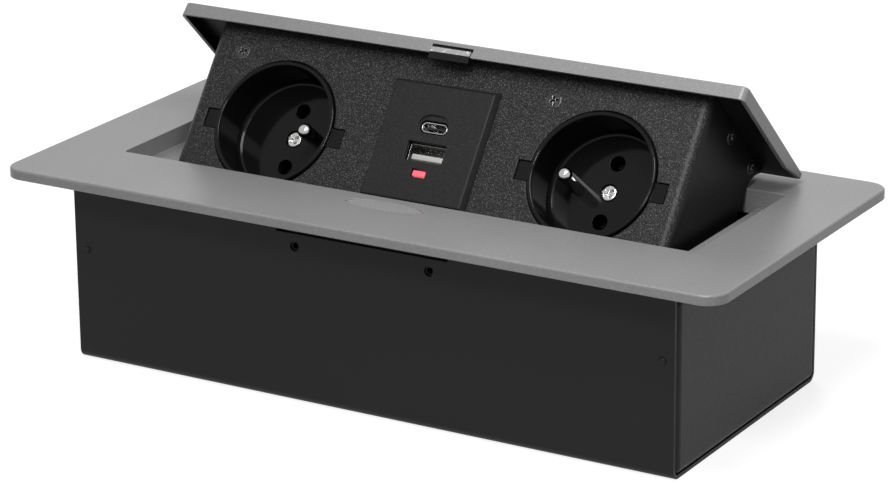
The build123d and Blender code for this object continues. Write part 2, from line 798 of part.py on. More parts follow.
# Sockets: a moulded cup, the back that holds the contacts, and what fits between the two
cup_floor = recess_deep - ring_proud
cup_back = cup_floor + floor_thick
lug_drop = 1.5
lug_sunk = 0.4
back_step = 2.2
screw_seat = 2.85
screw_seat_deep = 1.0
well_radius = 3.9
contact_radius = 3.4
contact_bore = 2.1
contact_slit = 0.8
contact_gap = 4.0
contact_web = 1.5
well_deep = back_deep - 1.6
for name, x, earth_side in sockets:
    centre = face.from_local_coords((x, -socket_drop, 0))
    socket = Plane(origin=centre, x_dir=face.x_dir, z_dir=face.z_dir)
    earth_spot = (earth_side * earth_offset, 0)
    pin_spots = ((0, -pin_spacing / 2), (0, pin_spacing / 2))
    with BuildPart() as socket_body:
        with BuildSketch(socket.offset(ring_proud)):
            Circle(ring_radius)
        extrude(amount=-ring_proud - cup_back)
        with BuildSketch(socket.offset(ring_proud)):
            Circle(recess_radius)
        extrude(amount=-recess_deep, mode=Mode.SUBTRACT)
        rim = socket_body.faces().sort_by(Axis(socket.origin, socket.z_dir))[-1]
        fillet(rim.edges(), 0.6)
        with BuildSketch(socket.offset(-sheet)):
            with Locations((0, (flange_high - flange_low) / 2)):
                RectangleRounded(2 * flange_half, flange_low + flange_high, flange_corner)
            Circle(ring_radius, mode=Mode.SUBTRACT)
            with Locations(face_screw_offset, lower_screw):
                Circle(face_screw_radius, mode=Mode.SUBTRACT)
        extrude(amount=-flange_thick)
        with BuildSketch(socket.offset(-sheet)):
            with Locations((0, -lug_drop)):
                Rectangle(2 * lug_half, lug_height)
            Circle(ring_radius, mode=Mode.SUBTRACT)
        extrude(amount=sheet - lug_sunk)
        with BuildSketch(socket.offset(-cup_floor)):
            with Locations(*pin_spots):
                Circle(pin_hole_radius)
            with Locations(earth_spot):
                Circle(earth_shank + running_gap)
            Circle(screw_radius)
        extrude(amount=-floor_thick, mode=Mode.SUBTRACT)
        with BuildSketch(socket.offset(-cup_floor)):
            Circle(screw_seat)
        extrude(amount=-screw_seat_deep, mode=Mode.SUBTRACT)
    socket_body.part.label = f"socket_body_{name}"
    export_step(socket_body.part, f"parts/socket_body_{name}.step")

    with BuildPart() as socket_back:
        with BuildSketch(socket.offset(-cup_back)):
            Circle(ring_radius - back_step)
        extrude(amount=-back_deep)
        fillet(socket_back.faces().sort_by(Axis(socket.origin, socket.z_dir))[0].edges(), 1.5)
        with BuildSketch(socket.offset(-cup_back)):
            with Locations(*pin_spots):
                Circle(well_radius)
            with Locations(earth_spot):
                Circle(earth_shank + running_gap)
            Circle(screw_radius - 0.1)
        extrude(amount=-well_deep, mode=Mode.SUBTRACT)
    socket_back.part.label = f"socket_back_{name}"
    export_step(socket_back.part, f"parts/socket_back_{name}.step")

    with BuildPart() as socket_contacts:
        with BuildSketch(socket.offset(-cup_back - contact_gap)):
            with Locations(*pin_spots):
                Circle(contact_radius)
                Circle(contact_bore, mode=Mode.SUBTRACT)
                Rectangle(2 * well_radius, contact_slit, mode=Mode.SUBTRACT)
        extrude(amount=contact_gap - well_deep)
        with BuildSketch(socket.offset(-cup_back - well_deep)):
            with Locations(*pin_spots):
                Circle(contact_radius)
        extrude(amount=contact_web)
    socket_contacts.part.label = f"socket_contacts_{name}"
    export_step(socket_contacts.part, f"parts/socket_contacts_{name}.step")

    with BuildPart() as earth_pin:
        with BuildSketch(socket.offset(-cup_floor + earth_length)):
            with Locations(earth_spot):
                Circle(earth_radius)
        extrude(amount=-earth_length)
        fillet(earth_pin.faces().sort_by(Axis(socket.origin, socket.z_dir))[-1].edges(), earth_tip)
        with BuildSketch(socket.offset(-cup_floor)):
            with Locations(earth_spot):
                Circle(earth_shank)
        extrude(amount=-floor_thick - well_deep)
    earth_pin.part.label = f"earth_pin_{name}"
    export_step(earth_pin.part, f"parts/earth_pin_{name}.step")

centre_head = 2.35
centre_head_high = 0.9
centre_bite = 6.0
with BuildPart() as centre_screws:
    for _, x, _ in sockets:
        seat = face.shift_origin(face.from_local_coords((x, -socket_drop, 0)))
        seat = seat.offset(-cup_floor - screw_seat_deep)
        with BuildSketch(seat):
            Circle(centre_head)
        extrude(amount=centre_head_high)
        with BuildSketch(seat):
            Circle(screw_radius - 0.1)
        extrude(amount=-floor_thick - centre_bite)
centre_screws.part.label = "centre_screws"
export_step(centre_screws.part, "parts/centre_screws.step")

# USB module: a bevelled plate on the panel, a hollow housing behind it and the parts on its board
usb = face.shift_origin(face.from_local_coords((0, usb_middle, 0)))
port_front = 1.6
board_front = 11.0
board_thick = 1.6
housing_deep = 20.0
housing_wall = 1.2
usb_c_size = (9.0, 3.3)
usb_a_size = (13.1, 5.9)
led_size = (5.0, 2.4)
usb_c_deep = 7.0
usb_c_tongue_size = (6.6, 0.7)
usb_a_deep = 11.0
usb_a_tongue_size = (11.1, 1.8)
tongue_short = 0.8
led_sunk = 0.3
shell_wall = 0.3
c_spot = (0, -usb_c_drop - usb_middle)
a_spot = (0, -usb_a_drop - usb_middle)
led_spot = (0, -led_drop - usb_middle)
with BuildPart() as usb_plate:
    with BuildSketch(usb):
        Rectangle(usb_width, usb_height)
    with BuildSketch(usb.offset(usb_proud)):
        Rectangle(usb_width - 2 * usb_bevel, usb_height - 2 * usb_bevel)
    loft()
    with BuildSketch(usb.offset(usb_proud)):
        with Locations(c_spot):
            RectangleRounded(usb_c_boss[0], usb_c_boss[1], 1.0)
    extrude(amount=usb_c_boss_proud)
    with BuildSketch(usb):
        with Locations(c_spot):
            RectangleRounded(usb_c_size[0] + 0.2, usb_c_size[1] + 0.2, usb_c_size[1] / 2)
        with Locations(a_spot):
            Rectangle(usb_a_size[0] + 0.2, usb_a_size[1] + 0.2)
        with Locations(led_spot):
            Rectangle(*led_size)
    extrude(amount=usb_proud + usb_c_boss_proud, mode=Mode.SUBTRACT)
usb_plate.part.label = "usb_plate"
export_step(usb_plate.part, "parts/usb_plate.step")

with BuildPart() as usb_housing:
    with BuildSketch(usb):
        RectangleRounded(usb_hole[0] - 0.4, usb_hole[1] - 0.4, 1.5)
    extrude(amount=-housing_deep)
    with BuildSketch(usb):
        RectangleRounded(
            usb_hole[0] - 0.4 - 2 * housing_wall, usb_hole[1] - 0.4 - 2 * housing_wall, 0.8
        )
    extrude(amount=-housing_deep + housing_wall, mode=Mode.SUBTRACT)
usb_housing.part.label = "usb_housing"
export_step(usb_housing.part, "parts/usb_housing.step")

with BuildPart() as usb_board:
    with BuildSketch(usb.offset(-board_front)):
        Rectangle(usb_hole[0] - 0.4 - 2 * housing_wall, usb_hole[1] - 0.4 - 2 * housing_wall)
    extrude(amount=-board_thick)
    fillet(usb_board.edges().filter_by(Axis(usb.origin, usb.z_dir)), 1.0)
usb_board.part.label = "usb_board"
export_step(usb_board.part, "parts/usb_board.step")

with BuildPart() as usb_transformer:
    with BuildSketch(usb.offset(-board_front - board_thick)):
        with Locations((-6.0, 5.0)):
            Rectangle(14.0, 12.0)
    extrude(amount=-5.8)
    fillet(usb_transformer.edges().filter_by(Axis(usb.origin, usb.z_dir)), 1.0)
usb_transformer.part.label = "usb_transformer"
export_step(usb_transformer.part, "parts/usb_transformer.step")

with BuildPart() as usb_capacitor:
    with BuildSketch(usb.offset(-board_front - board_thick)):
        with Locations((9.0, 6.0)):
            Circle(4.0)
    extrude(amount=-5.6)
    fillet(usb_capacitor.faces().sort_by(Axis(usb.origin, usb.z_dir))[0].edges(), 0.6)
usb_capacitor.part.label = "usb_capacitor"
export_step(usb_capacitor.part, "parts/usb_capacitor.step")

with BuildPart() as usb_c_shell:
    with BuildSketch(usb.offset(port_front)):
        with Locations(c_spot):
            RectangleRounded(usb_c_size[0], usb_c_size[1], usb_c_size[1] / 2 - 0.01)
    extrude(amount=-port_front - board_front)
    with BuildSketch(usb.offset(port_front)):
        with Locations(c_spot):
            RectangleRounded(
                usb_c_size[0] - 2 * shell_wall,
                usb_c_size[1] - 2 * shell_wall,
                usb_c_size[1] / 2 - shell_wall - 0.01,
            )
    extrude(amount=-usb_c_deep, mode=Mode.SUBTRACT)
usb_c_shell.part.label = "usb_c_shell"
export_step(usb_c_shell.part, "parts/usb_c_shell.step")

with BuildPart() as usb_c_tongue:
    with BuildSketch(usb.offset(port_front - usb_c_deep)):
        with Locations(c_spot):
            Rectangle(*usb_c_tongue_size)
    extrude(amount=usb_c_deep - tongue_short)
usb_c_tongue.part.label = "usb_c_tongue"
export_step(usb_c_tongue.part, "parts/usb_c_tongue.step")

with BuildPart() as usb_a_shell:
    with BuildSketch(usb.offset(port_front)):
        with Locations(a_spot):
            RectangleRounded(usb_a_size[0], usb_a_size[1], 0.5)
    extrude(amount=-port_front - board_front)
    with BuildSketch(usb.offset(port_front)):
        with Locations(a_spot):
            Rectangle(usb_a_size[0] - 2 * shell_wall, usb_a_size[1] - 2 * shell_wall)
    extrude(amount=-usb_a_deep, mode=Mode.SUBTRACT)
usb_a_shell.part.label = "usb_a_shell"
export_step(usb_a_shell.part, "parts/usb_a_shell.step")

with BuildPart() as usb_a_tongue:
    with BuildSketch(usb.offset(port_front - usb_a_deep)):
        with Locations((0, a_spot[1] - 1.0)):
            Rectangle(*usb_a_tongue_size)
    extrude(amount=usb_a_deep - tongue_short)
usb_a_tongue.part.label = "usb_a_tongue"
export_step(usb_a_tongue.part, "parts/usb_a_tongue.step")

with BuildPart() as led_pipe:
    with BuildSketch(usb.offset(usb_proud - led_sunk)):
        with Locations(led_spot):
            Rectangle(led_size[0] - 0.1, led_size[1] - 0.1)
    extrude(amount=led_sunk - usb_proud - board_front)
led_pipe.part.label = "led_pipe"
export_step(led_pipe.part, "parts/led_pipe.step")
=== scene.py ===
import math

import bpy
import numpy as np
from mathutils import Matrix


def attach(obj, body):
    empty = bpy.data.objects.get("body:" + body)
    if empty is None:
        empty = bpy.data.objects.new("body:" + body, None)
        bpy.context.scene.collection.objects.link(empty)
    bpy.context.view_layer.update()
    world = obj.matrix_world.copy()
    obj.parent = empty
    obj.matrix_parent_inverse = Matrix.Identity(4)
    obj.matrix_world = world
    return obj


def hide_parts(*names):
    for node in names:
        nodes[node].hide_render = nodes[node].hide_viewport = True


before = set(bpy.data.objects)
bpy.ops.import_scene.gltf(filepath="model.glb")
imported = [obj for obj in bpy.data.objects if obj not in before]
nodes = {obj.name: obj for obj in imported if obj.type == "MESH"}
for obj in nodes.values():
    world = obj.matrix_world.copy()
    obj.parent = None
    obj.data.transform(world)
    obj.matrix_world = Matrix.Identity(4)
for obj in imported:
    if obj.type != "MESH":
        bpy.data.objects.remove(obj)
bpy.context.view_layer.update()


# Bezel: one zinc casting, a flat frame with a collar down into the cut-out, a ledge across each end
# of its opening and a lens-shaped finger recess in the front bar. It is sprayed in a satin grey
# paint, whose fine grain shows close to.
def shader_group(name, inputs, outputs):
    """Empty shader node group with float, colour or vector sockets, and its two end nodes."""
    kinds = {"value": "NodeSocketFloat", "colour": "NodeSocketColor", "vector": "NodeSocketVector"}
    tree = bpy.data.node_groups.new(name, "ShaderNodeTree")
    for label, kind, start in inputs:
        socket = tree.interface.new_socket(name=label, in_out="INPUT", socket_type=kinds[kind])
        if start is not None:
            socket.default_value = start
    for label, kind in outputs:
        tree.interface.new_socket(name=label, in_out="OUTPUT", socket_type=kinds[kind])
    return tree, tree.nodes.new("NodeGroupInput"), tree.nodes.new("NodeGroupOutput")


def node(tree, kind, links=(), **settings):
    """New node of a kind with its settings, and each (input, socket or value) linked or set."""
    made = tree.nodes.new(kind)
    for key, value in settings.items():
        setattr(made, key, value)
    for key, value in links:
        if isinstance(value, bpy.types.NodeSocket):
            tree.links.new(value, made.inputs[key])
        else:
            made.inputs[key].default_value = value
    return made


def paint_grain_group():
    """Sprayed coat: fine cellular bumps with flecks on them, over a slow drift of tone.

    Height = noise at Scale mixed with noise at 0.36 of it. Fleck = a smooth step of the fine noise
    from Fleck share to 0.8. Drift = a slow noise of about 30 mm, centred on 1.
    """
    tree, start, end = shader_group(
        "paint_grain",
        [("Scale", "value", 1800.0), ("Fleck share", "value", 0.6)],
        [("Height", "value"), ("Fleck", "value"), ("Drift", "value")],
    )
    place = node(tree, "ShaderNodeTexCoord")
    fine = node(tree, "ShaderNodeTexNoise",
                [("Vector", place.outputs["Object"]), ("Scale", start.outputs["Scale"]),
                 ("Detail", 2.0), ("Roughness", 0.6)])
    third = node(tree, "ShaderNodeMath", [(0, start.outputs["Scale"]), (1, 0.36)],
                 operation="MULTIPLY")
    wide = node(tree, "ShaderNodeTexNoise",
                [("Vector", place.outputs["Object"]), ("Scale", third.outputs[0]), ("Detail", 1.0)])
    both = node(tree, "ShaderNodeMix", [(0, 0.35), (2, fine.outputs[0]), (3, wide.outputs[0])])
    fleck = node(tree, "ShaderNodeMapRange",
                 [("Value", fine.outputs[0]), ("From Min", start.outputs["Fleck share"]),
                  ("From Max", 0.8), ("To Min", 0.0), ("To Max", 1.0)],
                 interpolation_type="SMOOTHSTEP")
    slow = node(tree, "ShaderNodeTexNoise",
                [("Vector", place.outputs["Object"]), ("Scale", 32.0), ("Detail", 1.0)])
    drift = node(tree, "ShaderNodeMapRange",
                 [("Value", slow.outputs[0]), ("From Min", 0.25), ("From Max", 0.75),
                  ("To Min", 0.96), ("To Max", 1.04)])
    tree.links.new(both.outputs[0], end.inputs["Height"])
    tree.links.new(fleck.outputs["Result"], end.inputs["Fleck"])
    tree.links.new(drift.outputs["Result"], end.inputs["Drift"])
    return tree


def edge_group():
    """Rounded edges on a sharp solid: the bevelled normal, and a mask of how far it turns.

    Edge = 1 minus the cosine between the surface's own normal and the one rounded by Radius.
    """
    tree, start, end = shader_group(
        "soft_edge", [("Radius", "value", 0.0003)], [("Normal", "vector"), ("Edge", "value")])
    own = node(tree, "ShaderNodeNewGeometry")
    turned = node(tree, "ShaderNodeBevel", [("Radius", start.outputs["Radius"])], samples=6)
    cosine = node(tree, "ShaderNodeVectorMath",
                  [(0, own.outputs["Normal"]), (1, turned.outputs["Normal"])],
                  operation="DOT_PRODUCT")
    mask = node(tree, "ShaderNodeMapRange",
                [("Value", cosine.outputs["Value"]), ("From Min", 0.999), ("From Max", 0.8),
                 ("To Min", 0.0), ("To Max", 1.0)])
    tree.links.new(turned.outputs["Normal"], end.inputs["Normal"])
    tree.links.new(mask.outputs["Result"], end.inputs["Edge"])
    return tree


paint_grain = paint_grain_group()
soft_edge = edge_group()


def finish(name, colour, roughness, metallic=0.0, specular=0.5, grain=1800.0, share=0.6, bump=0.0,
           distance=0.0001, fleck=0.0, fleck_colour=(1, 1, 1, 1), edge=0.0003, painted_edge_light=0.0,
           painted_edge_colour=(0.5, 0.5, 0.5, 1), rough_change=0.0):
    """Material of one surface finish: grain and flecks over a base colour, painted light on soft
    edges.
    """
    material = bpy.data.materials.new(name)
    material.use_nodes = True
    tree = material.node_tree
    shader = tree.nodes["Principled BSDF"]
    shader.inputs["Metallic"].default_value = metallic
    shader.inputs["Specular IOR Level"].default_value = specular
    rim = node(tree, "ShaderNodeGroup", [("Radius", edge)], node_tree=soft_edge)
    coat_grain = node(tree, "ShaderNodeGroup", [("Scale", grain), ("Fleck share", share)],
                      node_tree=paint_grain)
    toned = node(tree, "ShaderNodeVectorMath",
                 [(0, colour[:3]), ("Scale", coat_grain.outputs["Drift"])], operation="SCALE")
    amount = node(tree, "ShaderNodeMath", [(0, coat_grain.outputs["Fleck"]), (1, fleck)],
                  operation="MULTIPLY")
    flecked = node(tree, "ShaderNodeMix",
                   [(0, amount.outputs[0]), (6, toned.outputs["Vector"]), (7, fleck_colour)],
                   data_type="RGBA")
    # painted highlight along soft edges: the edge mask blends in painted_edge_colour, which paints
    # shade instead where it is darker than the base
    edge_light_share = node(tree, "ShaderNodeMath", [(0, rim.outputs["Edge"]), (1, painted_edge_light)], operation="MULTIPLY")
    edged = node(tree, "ShaderNodeMix",
                 [(0, edge_light_share.outputs[0]), (6, flecked.outputs[2]), (7, painted_edge_colour)],
                 data_type="RGBA")
    tree.links.new(edged.outputs[2], shader.inputs["Base Color"])
    gloss = node(tree, "ShaderNodeMapRange",
                 [("Value", coat_grain.outputs["Height"]), ("From Min", 0.3), ("From Max", 0.7),
                  ("To Min", roughness - rough_change), ("To Max", roughness + rough_change)])
    tree.links.new(gloss.outputs["Result"], shader.inputs["Roughness"])
    relief = node(tree, "ShaderNodeBump",
                  [("Strength", bump), ("Distance", distance),
                   ("Height", coat_grain.outputs["Height"]), ("Normal", rim.outputs["Normal"])])
    tree.links.new(relief.outputs["Normal"], shader.inputs["Normal"])
    return material


def wear_finish(material, *names):
    """Gives CAD nodes a finish in place of the plain one that they came with."""
    for name in names:
        mesh = nodes[name].data
        mesh.materials.clear()
        mesh.materials.append(material)


# painted highlights: edges of the satin grey paint are lightened to 0.42 along the soft-edge mask
paint_look = dict(colour=(0.180, 0.180, 0.182, 1), roughness=0.34, specular=0.40, grain=2600.0,
                  share=0.52, bump=0.40, distance=0.00007, fleck=0.60,
                  fleck_colour=(0.38, 0.38, 0.38, 1), edge=0.0004, painted_edge_light=0.6,
                  painted_edge_colour=(0.42, 0.42, 0.42, 1), rough_change=0.04)
grey_paint = finish("satin_grey_paint", **paint_look)
wear_finish(grey_paint, "bezel_frame")


# Box: a sheet-steel wrapper folded round two flanged end plates and held to them by blind rivets,
# all in a fine matt black powder coat.
# painted highlights: the box's edges are lightened from near black to 0.05
box_coat = finish("box_powder_coat", (0.009, 0.009, 0.0095, 1), 0.48, specular=0.18, grain=2400.0,
                  share=0.56, bump=0.12, distance=0.00006, fleck=0.20,
                  fleck_colour=(0.030, 0.030, 0.030, 1), edge=0.0003, painted_edge_light=0.25,
                  painted_edge_colour=(0.05, 0.05, 0.05, 1), rough_change=0.05)
wear_finish(box_coat, "box_wrapper", "end_plate_left", "end_plate_right", "wall_rivets")


# Ledge screws: countersunk, blackened, cold headed with a cross recess, one through each end ledge
# into a nut under the end plate.
def skin(rings, loop=False):
    """Closed skin over a stack of rings: rings[i, j] is point j of ring i.

    Each cell between two rings is a quad. The stack closes on itself where loop is set, and
    otherwise each end is a fan of triangles to the mean of its ring.
    """
    count, around = rings.shape[:2]
    points = rings.reshape(-1, 3)
    cells = count if loop else count - 1
    i, j = np.meshgrid(np.arange(cells), np.arange(around), indexing="ij")
    up, beside = (i + 1) % count, (j + 1) % around
    quads = np.stack([i * around + j, i * around + beside,
                      up * around + beside, up * around + j], -1)
    if loop:
        return points, quads.reshape(-1, 4), np.zeros((0, 3), int)
    points = np.concatenate([points, rings[0].mean(0)[None], rings[-1].mean(0)[None]])
    j = np.arange(around)
    beside = (j + 1) % around
    low = np.stack([beside, j, np.full(around, count * around)], -1)
    high = np.stack([j, beside, np.full(around, 1 + around)], -1) + (count - 1) * around
    return points, quads.reshape(-1, 4), np.concatenate([low, high])


def piece(name, skins, material, body, stands_for=()):
    """One mesh object of closed skins on a body, each turned so that its faces point outwards.

    A skin's volume is a sixth of the sum of a . (b x c) over its triangles, and is negative where
    the faces point inwards.
    """
    points, faces, start = [], [], 0
    for spots, quads, tris in skins:
        fans = np.concatenate([quads[:, [0, 1, 2]], quads[:, [0, 2, 3]], tris])
        a, b, c = (spots[fans[:, side]] - spots[0] for side in range(3))
        step = -1 if np.sum(a * np.cross(b, c)) < 0 else 1
        faces += (quads[:, ::step] + start).tolist() + (tris[:, ::step] + start).tolist()
        points.append(spots)
        start += len(spots)
    mesh = bpy.data.meshes.new(name)
    mesh.from_pydata(np.concatenate(points).tolist(), [], faces)
    mesh.shade_smooth()
    mesh.set_sharp_from_angle(angle=math.radians(35))
    mesh.materials.append(material)
    made = bpy.data.objects.new(name, mesh)
    bpy.context.scene.collection.objects.link(made)
    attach(made, body)
    if stands_for:
        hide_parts(*stands_for)
    return made


def placed(rings, origin, right, up):
    """Rings in millimetres, set in the world in metres at origin.

    Their x lies along right, their y along up and their z along right x up.
    """
    axes = np.array([right, up, np.cross(right, up)], float)
    return rings @ axes / 1000 + np.array(origin, float)


def cross_screw(head, slot_long, slot_wide, slot_deep, dome, below):
    """Screw with a cross recess, about Z, with its head's rim at height 0.

    The recess outline is r = min(slot_long / cos a, slot_wide / sin a), with a the angle from the
    nearest arm. Rings run from the recess floor up its tapered wall, over the dome to the round
    head, then down the (radius, height) pairs of below.
    """
    corner = math.atan2(slot_wide, slot_long)
    arm = np.concatenate([np.linspace(-math.pi / 4, -corner, 5)[:-1],
                          np.linspace(-corner, corner, 4),
                          np.linspace(corner, math.pi / 4, 5)[1:-1]])
    angle = (arm + np.arange(4)[:, None] * math.pi / 2).ravel()
    fold = np.tile(np.abs(arm), 4)
    cross = np.minimum(slot_long / np.cos(fold), slot_wide / np.maximum(np.sin(fold), 1e-6))
    share = np.array([0.30, 0.62, 0.97, 1.06])[:, None] * cross
    wide = cross * 1.06 + (head - cross * 1.06) * np.array([0.35, 0.7, 0.93, 1.0])[:, None]
    low = np.array(below, float)
    radius = np.concatenate([share, wide, low[:, :1] + 0 * cross])
    crown = dome * (1 - (wide.mean(1) / head) ** 2)
    height = np.concatenate([[dome - slot_deep, dome - 0.85 * slot_deep, crown[0] - 0.05, crown[0]],
                             crown, low[:, 1]])
    flat = np.stack([radius * np.cos(angle), radius * np.sin(angle)], -1)
    return np.concatenate([flat, np.broadcast_to(height[:, None, None], flat.shape[:2] + (1,))], -1)


# painted highlights: the edges of the blackened screw heads are lightened to bright grey
black_screw = finish("blackened_screw", (0.045, 0.045, 0.047, 1), 0.30, metallic=0.85, grain=2400.0,
                     bump=0.05, edge=0.0002, painted_edge_light=1.0, painted_edge_colour=(0.60, 0.60, 0.60, 1))
zinc = finish("zinc_plate", (0.55, 0.55, 0.57, 1), 0.32, metallic=1.0, grain=900.0, bump=0.03,
              edge=0.0002, rough_change=0.08)
ledge_form = cross_screw(2.85, 1.65, 0.42, 1.4, 0.0,
                         [(2.75, -0.15), (1.45, -1.5), (1.45, -8.6), (1.1, -9.0)])
ledge_x, ledge_y, ledge_top = 0.0955, 0.004, 0.05695
piece("ledge_screw_heads",
      [skin(placed(ledge_form, (x, ledge_y, ledge_top), (1, 0, 0), (0, 1, 0)))
       for x in (-ledge_x, ledge_x)],
      black_screw, "housing", ["ledge_screws"])
wear_finish(zinc, "ledge_nuts")


# Catch: a black moulded block, held by two hollow pegs in holes of the front wall, with a
# nickel-plated bar magnet pressed into it.
black_moulding = finish("black_moulding", (0.012, 0.012, 0.0125, 1), 0.42, specular=0.25,
                        grain=1500.0, bump=0.08, edge=0.0003)
wear_finish(black_moulding, "catch_block")
nickel = finish("nickel_plate", (0.46, 0.455, 0.445, 1), 0.12, metallic=1.0, grain=700.0, bump=0.02,
                edge=0.0002, rough_change=0.04)
wear_finish(nickel, "catch_magnet")


# Supply entry: a moulded cable gland through the rear wall, whose ribbed cap presses a rubber seal
# onto the cord, held by a nut inside, and a white three-pole terminal block with brass screws on
# the box's bottom.
def gland_rings(profile, ribs, depth, around=120):
    """Rings of a turned moulding about Z from (radius, height, rib) triples.

    The radius at angle a is radius + rib * depth * cos(ribs * a).
    """
    radius, height, rib = np.array(profile, float).T
    angle = np.linspace(0, 2 * math.pi, around, endpoint=False)
    reach = radius[:, None] + rib[:, None] * depth * np.cos(ribs * angle)
    return np.stack([reach * np.cos(angle), reach * np.sin(angle),
                     np.broadcast_to(height[:, None], reach.shape)], -1)


def hex_rings(profile, half, around=120):
    """Rings of a hexagon about Z from (share, height, round) triples.

    A flat side lies at r = half / cos(a), a from the side's middle, with the corner cut off at
    1.115 * half, and round mixes in a circle through the same middles.
    """
    share, height, bend = np.array(profile, float).T
    angle = np.linspace(0, 2 * math.pi, around, endpoint=False)
    fold = np.abs((angle + math.pi / 6) % (math.pi / 3) - math.pi / 6)
    flat = np.minimum(half / np.cos(fold), half * 1.115)
    reach = share[:, None] * (flat + bend[:, None] * (half - flat))
    return np.stack([reach * np.cos(angle), reach * np.sin(angle),
                     np.broadcast_to(height[:, None], reach.shape)], -1)


gland_place = ((-0.060, 0.0475, 0.016), (-1, 0, 0), (0, 0, 1))
cap_ribs, rib_deep = 24, 0.22
gland_cap = gland_rings([(3.9, 9.4, 0), (4.6, 9.8, 0), (5.9, 9.75, 0), (7.1, 9.1, 0.3),
                         (7.75, 8.0, 1), (7.9, 6.6, 1), (7.9, 5.0, 1), (7.8, 4.4, 0.4),
                         (7.2, 4.1, 0), (7.2, 3.4, 0), (3.9, 3.4, 0)], cap_ribs, rib_deep)
hex_half = 9.05
gland_body = hex_rings([(0.44, 3.9, 1), (0.93, 3.9, 1), (0.97, 3.7, 0.4), (1.0, 3.3, 0),
                        (1.0, 0.5, 0), (0.97, 0.1, 0.4), (0.93, 0.0, 1), (0.86, 0.0, 1),
                        (0.86, -8.7, 1), (0.82, -9.0, 1), (0.44, -9.0, 1)], hex_half)
gland_seal = gland_rings([(3.65, 8.9, 0), (3.65, 4.0, 0), (3.95, 4.0, 0), (3.95, 8.6, 0),
                          (4.1, 9.2, 0), (3.9, 9.3, 0)], 1, 0.0)
piece("cable_gland_body",
      [skin(placed(rings, *gland_place), loop=True)
       for rings in (gland_body, gland_cap, gland_seal)],
      black_moulding, "housing", ["cable_gland"])
white_moulding = finish("white_moulding", (0.36, 0.355, 0.345, 1), 0.5, grain=1200.0, bump=0.05,
                        edge=0.0003)
brass = finish("brass", (0.62, 0.43, 0.17, 1), 0.27, metallic=1.0, grain=800.0, bump=0.03,
               edge=0.0002, rough_change=0.08)
wear_finish(black_moulding, "gland_nut")
wear_finish(white_moulding, "terminal_block")
wear_finish(brass, "terminal_screws")


# Hinge: zinc-plated steel studs on the end plates run in flanged brass bushes, held by clips. A
# torsion spring of hard wire round each stud bears on a post of the end plate and lifts the lid.
spring_wire = finish("spring_wire", (0.36, 0.36, 0.38, 1), 0.30, metallic=1.0, grain=600.0,
                     bump=0.04, edge=0.0001, rough_change=0.08)
wear_finish(zinc, "pivot_pin_left", "pivot_pin_right", "pivot_clips", "spring_posts")
wear_finish(brass, "pivot_bush_left", "pivot_bush_right")
wear_finish(spring_wire, "torsion_spring_left", "torsion_spring_right")


# Lid: one pressed pan in the bezel's own grey paint, with painted shade that colours its inside
# near black. A strike of spring steel comes out through the slot in its front rim, with painted
# shade near black over all of it but a band of bare steel on its front face.
opening = math.radians(44.16)
lid_back = np.array([0, math.cos(opening), -math.sin(opening)])
lid_out = np.array([0, math.sin(opening), math.cos(opening)])
hinge_axis = np.array([0, 0.0415, 0.0409])
lid_front, lid_under, rim_edge = -67.15, 20.6, 17.6
lid_half, rim_thick = 99.6, 1.4


def lid_region_group():
    """1 inside a box in the lid's own directions and 0 outside it.

    The box is |x| < Half, y > Front and Low < z < High in millimetres from the hinge axis, with y
    back along the lid and z out of it. Mask = product over its sides of 1 + slope * room, held
    between 0 and 1, where room is how far inside that side a point lies.
    """
    tree, start, end = shader_group(
        "lid_region", [(label, "value", 0.0) for label in ("Half", "Front", "Low", "High")],
        [("Mask", "value")])
    place = node(tree, "ShaderNodeTexCoord")
    from_axis = node(tree, "ShaderNodeVectorMath",
                     [(0, place.outputs["Object"]), (1, hinge_axis)], operation="SUBTRACT")
    mask, slope = 1.0, 25.0
    for axis, side, inward in (((1, 0, 0), "Half", 1), ((-1, 0, 0), "Half", 1),
                               (lid_back, "Front", -1), (lid_out, "Low", -1), (lid_out, "High", 1)):
        along = node(tree, "ShaderNodeVectorMath",
                     [(0, from_axis.outputs[0]), (1, np.array(axis) * 1000.0)],
                     operation="DOT_PRODUCT")
        room = node(tree, "ShaderNodeMath",
                    [(0, start.outputs[side]), (1, along.outputs["Value"])], operation="SUBTRACT")
        step = node(tree, "ShaderNodeMath", [(0, room.outputs[0]), (1, inward * slope), (2, 1.0)],
                    operation="MULTIPLY_ADD", use_clamp=True)
        mask = node(tree, "ShaderNodeMath", [(0, mask), (1, step.outputs[0])],
                    operation="MULTIPLY").outputs[0]
    tree.links.new(mask, end.inputs["Mask"])
    return tree


def cover_colour(material, mask, colour):
    """Lays a colour over a material's base colour where the mask is 1."""
    tree = material.node_tree
    base = tree.nodes["Principled BSDF"].inputs["Base Color"]
    laid = node(tree, "ShaderNodeMix", [(0, mask), (6, base.links[0].from_socket), (7, colour)],
                data_type="RGBA")
    tree.links.new(laid.outputs[2], base)


def cover_region(material, half, front, low, high, colour):
    """Lays a colour over a material inside a box of the lid, as in lid_region_group."""
    region = node(material.node_tree, "ShaderNodeGroup",
                  [("Half", half), ("Front", front), ("Low", low), ("High", high)],
                  node_tree=lid_region)
    cover_colour(material, region.outputs["Mask"], colour)


lid_region = lid_region_group()
lid_paint = finish("lid_paint", **paint_look)
# painted shade: the pan's inside, from the rims' inner faces to the underside, is coloured near
# black
skin_deep = 0.01
cover_region(lid_paint, lid_half - rim_thick + skin_deep, lid_front + rim_thick - skin_deep,
             rim_edge - 1, lid_under + skin_deep, (0.008, 0.008, 0.0085, 1))
wear_finish(lid_paint, "lid_panel")
